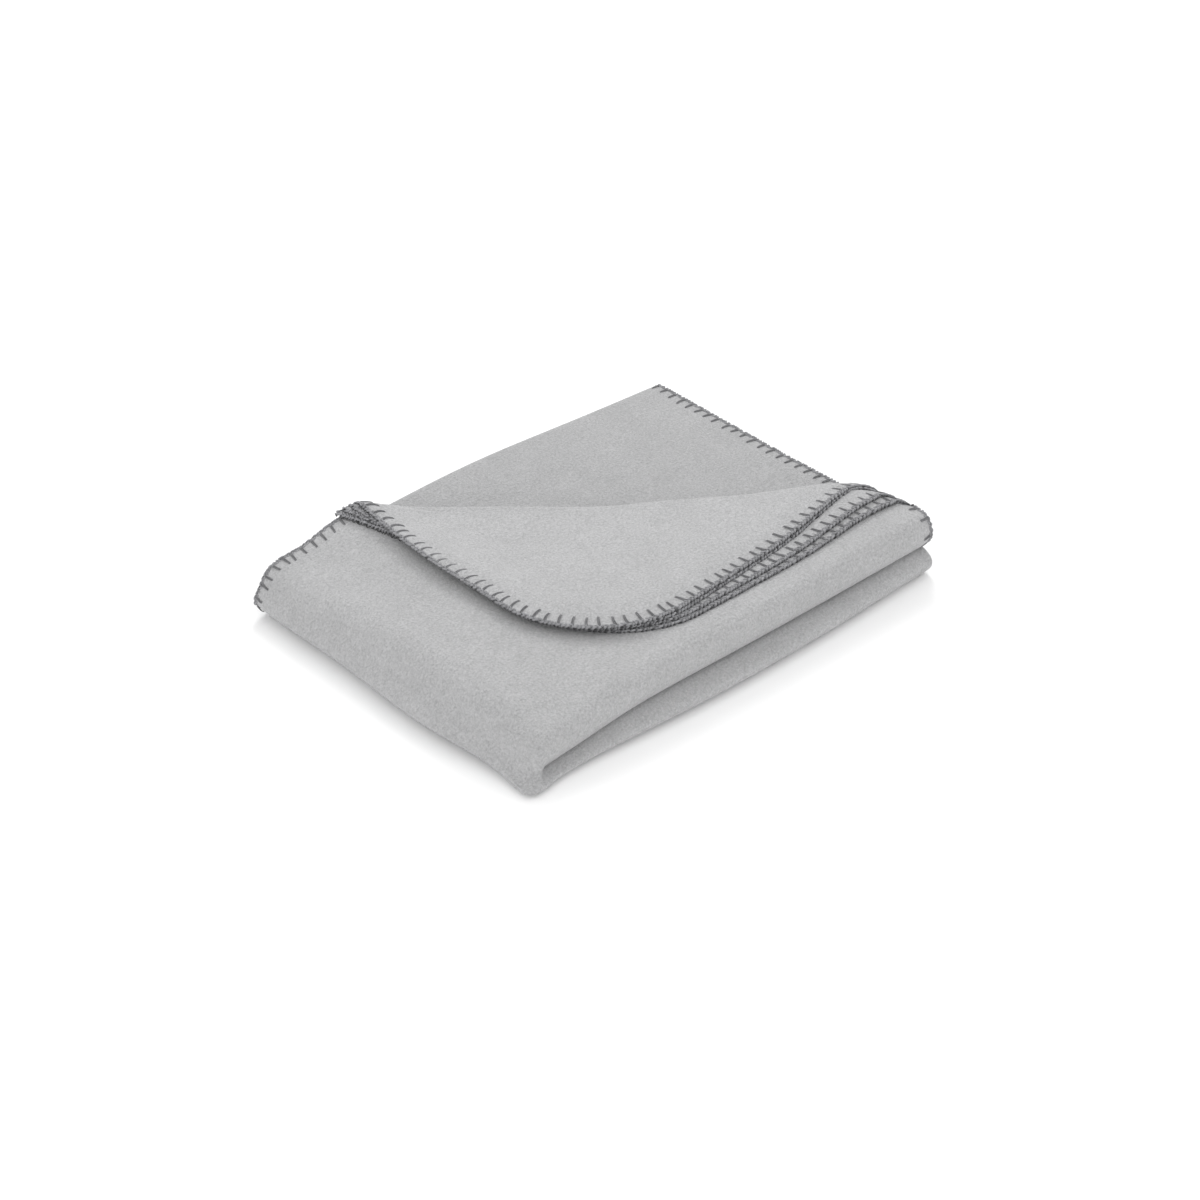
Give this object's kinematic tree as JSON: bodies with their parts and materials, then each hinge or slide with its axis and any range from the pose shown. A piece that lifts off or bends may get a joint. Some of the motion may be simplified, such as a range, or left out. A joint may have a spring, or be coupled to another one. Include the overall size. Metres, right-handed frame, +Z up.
{
  "type": "folded throw blanket",
  "caption": "Soft fleece throw with whip-stitched yarn edging, folded into a flat rectangular stack with one corner turned back over the top.",
  "frame": {"origin": "Middle of the folded footprint, on the surface that the blanket lies on.", "axes": "+X along the long side, away from the last fold; +Y from the rolled side to the open side; +Z up."},
  "size_m": [0.4252, 0.317, 0.0646],
  "materials": {
    "fleece": "matte",
    "edging_yarn": "matte"
  },
  "bodies": {
    "lower_half": {"lower_end_fold_inner": "fleece", "lower_end_fold_outer": "fleece", "lower_fold_1": "fleece", "lower_fold_2": "fleece", "lower_fold_3": "fleece", "lower_fold_4": "fleece", "lower_side_edging_1": "edging_yarn", "lower_side_edging_2": "edging_yarn", "lower_side_edging_3": "edging_yarn", "lower_side_edging_4": "edging_yarn", "lower_side_fold_inner": "fleece", "lower_side_fold_outer": "fleece", "nose_edging_1": "edging_yarn", "nose_edging_2": "edging_yarn", "nose_edging_3": "edging_yarn", "nose_edging_4": "edging_yarn", "nose_fold_1": "fleece", "nose_fold_2": "fleece", "nose_fold_3": "fleece", "nose_fold_4": "fleece", "nose_side_fold_inner": "fleece", "nose_side_fold_outer": "fleece"},
    "upper_half": {"crest_roll_1": "fleece", "crest_roll_2": "fleece", "crest_roll_3": "fleece", "crest_roll_4": "fleece", "upper_end_edging_1": "edging_yarn", "upper_end_edging_2": "edging_yarn", "upper_end_edging_3": "edging_yarn", "upper_end_edging_4": "edging_yarn", "upper_fold_1": "fleece", "upper_fold_2": "fleece", "upper_fold_3": "fleece", "upper_fold_4": "fleece", "upper_side_edging_1": "edging_yarn", "upper_side_edging_2": "edging_yarn", "upper_side_edging_3": "edging_yarn", "upper_side_edging_4": "edging_yarn", "upper_side_fold_inner": "fleece", "upper_side_fold_outer": "fleece"},
    "turned_corner": {"flap_edging_1": "edging_yarn", "flap_edging_2": "edging_yarn", "flap_edging_3": "edging_yarn", "flap_edging_4": "edging_yarn", "flap_layer_1": "fleece", "flap_layer_2": "fleece", "flap_layer_3": "fleece", "flap_layer_4": "fleece"}
  },
  "joints": [
    {"name": "last_fold", "type": "hinge", "parent": "lower_half", "child": "upper_half", "pos_m": [-0.1869, 0, 0.02575], "axis": [0, -1, 0], "range_deg": [0, 160], "deforming": ["nose_edging_1", "nose_edging_2", "nose_edging_3", "nose_edging_4", "nose_fold_1", "nose_fold_2", "nose_fold_3", "nose_fold_4", "nose_side_fold_inner", "nose_side_fold_outer"]},
    {"name": "corner_flap", "type": "hinge", "parent": "upper_half", "child": "turned_corner", "pos_m": [-0.1285, 0.1585, 0.05165], "axis": [-0.7547, 0.6561, 0], "range_deg": [0, 176], "deforming": ["crest_roll_1", "crest_roll_2", "crest_roll_3", "crest_roll_4"]}
  ]
}
